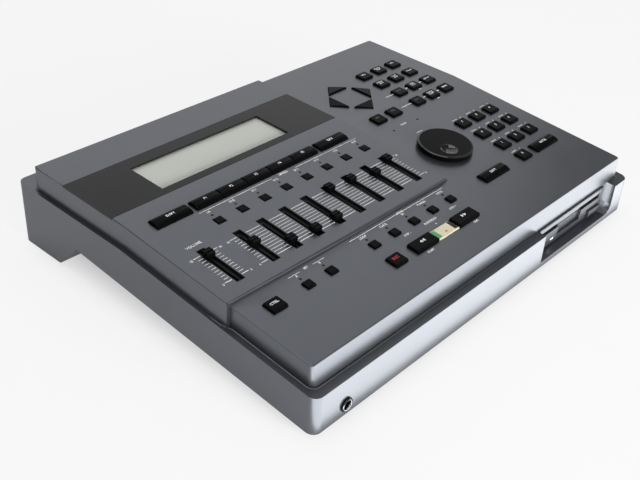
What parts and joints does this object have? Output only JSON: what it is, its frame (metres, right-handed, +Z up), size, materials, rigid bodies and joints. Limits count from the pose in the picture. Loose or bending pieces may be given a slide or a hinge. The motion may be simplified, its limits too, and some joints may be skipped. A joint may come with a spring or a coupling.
{
  "type": "music workstation",
  "caption": "Desktop music workstation: wedge case with raised panel, display window, slide faders, data dial, key groups and a disk drive in the front face",
  "frame": {"origin": "middle of the footprint on the table, at the height of the feet's undersides", "axes": "+X to the player's right, +Y to the rear with the sockets, +Z up"},
  "size_m": [0.4, 0.3152, 0.0738],
  "materials": {
    "case": "satin slate-grey moulded plastic with a fine grain",
    "window": "polished black acrylic",
    "screen": "pale grey-green liquid-crystal display in a metal frame",
    "circuit": "green lacquered circuit board with black parts",
    "supply": "tan supply board with a wound transformer",
    "drive_metal": "zinc-plated sheet steel",
    "bezel": "grey moulded plastic",
    "jack": "nickel-plated brass",
    "socket": "black moulded plastic",
    "rubber": "black soft rubber",
    "screw": "zinc-plated steel",
    "unit": "plain sheet metal",
    "lamp": "dark red lens",
    "cap": "black plastic with a satin top",
    "dial": "black satin plastic",
    "key": "black satin plastic"
  },
  "bodies": {
    "root": {"lower_case": "case", "rear_legs": "case", "top_case": "case", "display_window": "window", "lcd_module": "screen", "panel_boards": "circuit", "main_board": "circuit", "power_supply": "supply", "drive_chassis": "drive_metal", "drive_bezel": "bezel", "phone_jacks": "jack", "midi_sockets": "socket", "power_inlet": "socket", "rubber_feet": "rubber", "case_screws": "screw", "fader_units": "unit", "dial_encoder": "unit", "status_lamps": "lamp"},
    "volume_fader": {"volume_fader": "cap"},
    "part_fader_1": {"part_fader_1": "cap"},
    "part_fader_2": {"part_fader_2": "cap"},
    "part_fader_3": {"part_fader_3": "cap"},
    "part_fader_4": {"part_fader_4": "cap"},
    "part_fader_5": {"part_fader_5": "cap"},
    "part_fader_6": {"part_fader_6": "cap"},
    "part_fader_7": {"part_fader_7": "cap"},
    "part_fader_8": {"part_fader_8": "cap"},
    "data_dial": {"data_dial": "dial"},
    "f1_key": {"f1_key": "key"},
    "f2_key": {"f2_key": "key"},
    "f3_key": {"f3_key": "key"},
    "f4_key": {"f4_key": "key"},
    "f5_key": {"f5_key": "key"},
    "left_shift_key": {"left_shift_key": "key"},
    "exit_key": {"exit_key": "key"},
    "enter_key": {"enter_key": "key"},
    "right_shift_key": {"right_shift_key": "key"},
    "ctrl_key": {"ctrl_key": "key"},
    "rec_key": {"rec_key": "key"},
    "stop_key": {"stop_key": "key"},
    "play_key": {"play_key": "key"},
    "forward_key": {"forward_key": "key"},
    "part_keys": {"part_keys": "key"},
    "mode_keys_4": {"mode_keys_4": "key"},
    "number_keys_1": {"number_keys_1": "key"},
    "number_keys_2": {"number_keys_2": "key"},
    "number_keys_3": {"number_keys_3": "key"},
    "zero_key": {"zero_key": "key"},
    "small_keys_left": {"small_keys_left": "key"},
    "small_keys_right": {"small_keys_right": "key"},
    "cursor_up": {"cursor_up": "key"},
    "cursor_down": {"cursor_down": "key"},
    "cursor_left": {"cursor_left": "key"},
    "cursor_right": {"cursor_right": "key"},
    "mode_keys_1": {"mode_keys_1": "key"},
    "mode_keys_2": {"mode_keys_2": "key"},
    "mode_keys_3": {"mode_keys_3": "key"},
    "power_button": {"power_button": "socket"},
    "eject_button": {"eject_button": "bezel"},
    "drive_door": {"drive_door": "bezel"}
  },
  "joints": [
    {"name": "volume_fader_slide", "type": "slide", "parent": "root", "child": "volume_fader", "axis": [0, 0.9963, 0.0863], "range_m": [-0.0268, 0.0032]},
    {"name": "part_fader_1_slide", "type": "slide", "parent": "root", "child": "part_fader_1", "axis": [0, 0.9963, 0.0863], "range_m": [-0.0173, 0.0127]},
    {"name": "part_fader_2_slide", "type": "slide", "parent": "root", "child": "part_fader_2", "axis": [0, 0.9963, 0.0863], "range_m": [-0.0037, 0.0263]},
    {"name": "part_fader_3_slide", "type": "slide", "parent": "root", "child": "part_fader_3", "axis": [0, 0.9963, 0.0863], "range_m": [-0.0014, 0.0286]},
    {"name": "part_fader_4_slide", "type": "slide", "parent": "root", "child": "part_fader_4", "axis": [0, 0.9963, 0.0863], "range_m": [-0.0019, 0.0281]},
    {"name": "part_fader_5_slide", "type": "slide", "parent": "root", "child": "part_fader_5", "axis": [0, 0.9963, 0.0863], "range_m": [-0.0295, 0.0005]},
    {"name": "part_fader_6_slide", "type": "slide", "parent": "root", "child": "part_fader_6", "axis": [0, 0.9963, 0.0863], "range_m": [-0.0276, 0.0024]},
    {"name": "part_fader_7_slide", "type": "slide", "parent": "root", "child": "part_fader_7", "axis": [0, 0.9963, 0.0863], "range_m": [-0.022, 0.008]},
    {"name": "part_fader_8_slide", "type": "slide", "parent": "root", "child": "part_fader_8", "axis": [0, 0.9963, 0.0863], "range_m": [-0.029, 0.001]},
    {"name": "data_dial_turn", "type": "hinge", "parent": "root", "child": "data_dial", "pos_m": [0.0797, -0.04324, 0.06463], "axis": [0, -0.0863, 0.9963], "continuous": true},
    {"name": "f1_key_press", "type": "slide", "parent": "root", "child": "f1_key", "axis": [0, 0.0863, -0.9963], "range_m": [0, 0.0012], "stiffness_N_per_m": 300},
    {"name": "f2_key_press", "type": "slide", "parent": "root", "child": "f2_key", "axis": [0, 0.0863, -0.9963], "range_m": [0, 0.0012], "stiffness_N_per_m": 300},
    {"name": "f3_key_press", "type": "slide", "parent": "root", "child": "f3_key", "axis": [0, 0.0863, -0.9963], "range_m": [0, 0.0012], "stiffness_N_per_m": 300},
    {"name": "f4_key_press", "type": "slide", "parent": "root", "child": "f4_key", "axis": [0, 0.0863, -0.9963], "range_m": [0, 0.0012], "stiffness_N_per_m": 300},
    {"name": "f5_key_press", "type": "slide", "parent": "root", "child": "f5_key", "axis": [0, 0.0863, -0.9963], "range_m": [0, 0.0012], "stiffness_N_per_m": 300},
    {"name": "left_shift_key_press", "type": "slide", "parent": "root", "child": "left_shift_key", "axis": [0, 0.0863, -0.9963], "range_m": [0, 0.0012], "stiffness_N_per_m": 300},
    {"name": "exit_key_press", "type": "slide", "parent": "root", "child": "exit_key", "axis": [0, 0.0863, -0.9963], "range_m": [0, 0.0012], "stiffness_N_per_m": 300},
    {"name": "enter_key_press", "type": "slide", "parent": "root", "child": "enter_key", "axis": [0, 0.0863, -0.9963], "range_m": [0, 0.0012], "stiffness_N_per_m": 300},
    {"name": "right_shift_key_press", "type": "slide", "parent": "root", "child": "right_shift_key", "axis": [0, 0.0863, -0.9963], "range_m": [0, 0.0012], "stiffness_N_per_m": 300},
    {"name": "ctrl_key_press", "type": "slide", "parent": "root", "child": "ctrl_key", "axis": [0, 0.0863, -0.9963], "range_m": [0, 0.0012], "stiffness_N_per_m": 300},
    {"name": "rec_key_press", "type": "slide", "parent": "root", "child": "rec_key", "axis": [0, 0.0863, -0.9963], "range_m": [0, 0.0012], "stiffness_N_per_m": 300},
    {"name": "stop_key_press", "type": "slide", "parent": "root", "child": "stop_key", "axis": [0, 0.0863, -0.9963], "range_m": [0, 0.0012], "stiffness_N_per_m": 300},
    {"name": "play_key_press", "type": "slide", "parent": "root", "child": "play_key", "axis": [0, 0.0863, -0.9963], "range_m": [0, 0.0012], "stiffness_N_per_m": 300},
    {"name": "forward_key_press", "type": "slide", "parent": "root", "child": "forward_key", "axis": [0, 0.0863, -0.9963], "range_m": [0, 0.0012], "stiffness_N_per_m": 300},
    {"name": "part_keys_press", "type": "slide", "parent": "root", "child": "part_keys", "axis": [0, 0.0863, -0.9963], "range_m": [0, 0.0012], "stiffness_N_per_m": 300},
    {"name": "mode_keys_4_press", "type": "slide", "parent": "root", "child": "mode_keys_4", "axis": [0, 0.0863, -0.9963], "range_m": [0, 0.0012], "stiffness_N_per_m": 300},
    {"name": "number_keys_1_press", "type": "slide", "parent": "root", "child": "number_keys_1", "axis": [0, 0.0863, -0.9963], "range_m": [0, 0.0012], "stiffness_N_per_m": 300},
    {"name": "number_keys_2_press", "type": "slide", "parent": "root", "child": "number_keys_2", "axis": [0, 0.0863, -0.9963], "range_m": [0, 0.0012], "stiffness_N_per_m": 300},
    {"name": "number_keys_3_press", "type": "slide", "parent": "root", "child": "number_keys_3", "axis": [0, 0.0863, -0.9963], "range_m": [0, 0.0012], "stiffness_N_per_m": 300},
    {"name": "zero_key_press", "type": "slide", "parent": "root", "child": "zero_key", "axis": [0, 0.0863, -0.9963], "range_m": [0, 0.0012], "stiffness_N_per_m": 300},
    {"name": "small_keys_left_press", "type": "slide", "parent": "root", "child": "small_keys_left", "axis": [0, 0.0863, -0.9963], "range_m": [0, 0.0012], "stiffness_N_per_m": 300},
    {"name": "small_keys_right_press", "type": "slide", "parent": "root", "child": "small_keys_right", "axis": [0, 0.0863, -0.9963], "range_m": [0, 0.0012], "stiffness_N_per_m": 300},
    {"name": "cursor_up_press", "type": "slide", "parent": "root", "child": "cursor_up", "axis": [0, 0.0227, -0.9997], "range_m": [0, 0.0012], "stiffness_N_per_m": 300},
    {"name": "cursor_down_press", "type": "slide", "parent": "root", "child": "cursor_down", "axis": [0, 0.0227, -0.9997], "range_m": [0, 0.0012], "stiffness_N_per_m": 300},
    {"name": "cursor_left_press", "type": "slide", "parent": "root", "child": "cursor_left", "axis": [0, 0.0227, -0.9997], "range_m": [0, 0.0012], "stiffness_N_per_m": 300},
    {"name": "cursor_right_press", "type": "slide", "parent": "root", "child": "cursor_right", "axis": [0, 0.0227, -0.9997], "range_m": [0, 0.0012], "stiffness_N_per_m": 300},
    {"name": "mode_keys_1_press", "type": "slide", "parent": "root", "child": "mode_keys_1", "axis": [0, 0.0227, -0.9997], "range_m": [0, 0.0012], "stiffness_N_per_m": 300},
    {"name": "mode_keys_2_press", "type": "slide", "parent": "root", "child": "mode_keys_2", "axis": [0, 0.0227, -0.9997], "range_m": [0, 0.0012], "stiffness_N_per_m": 300},
    {"name": "mode_keys_3_press", "type": "slide", "parent": "root", "child": "mode_keys_3", "axis": [0, 0.0227, -0.9997], "range_m": [0, 0.0012], "stiffness_N_per_m": 300},
    {"name": "power_button_press", "type": "slide", "parent": "root", "child": "power_button", "axis": [0, -1, 0], "range_m": [0, 0.003], "stiffness_N_per_m": 200},
    {"name": "eject_button_press", "type": "slide", "parent": "root", "child": "eject_button", "axis": [0, 0.9962, 0.0872], "range_m": [0, 0.003], "stiffness_N_per_m": 200},
    {"name": "drive_door_swing", "type": "hinge", "parent": "root", "child": "drive_door", "pos_m": [0.118, -0.14627, 0.0302], "axis": [1, 0, 0], "range_deg": [0, 85], "stiffness_Nm_per_rad": 0.001}
  ]
}
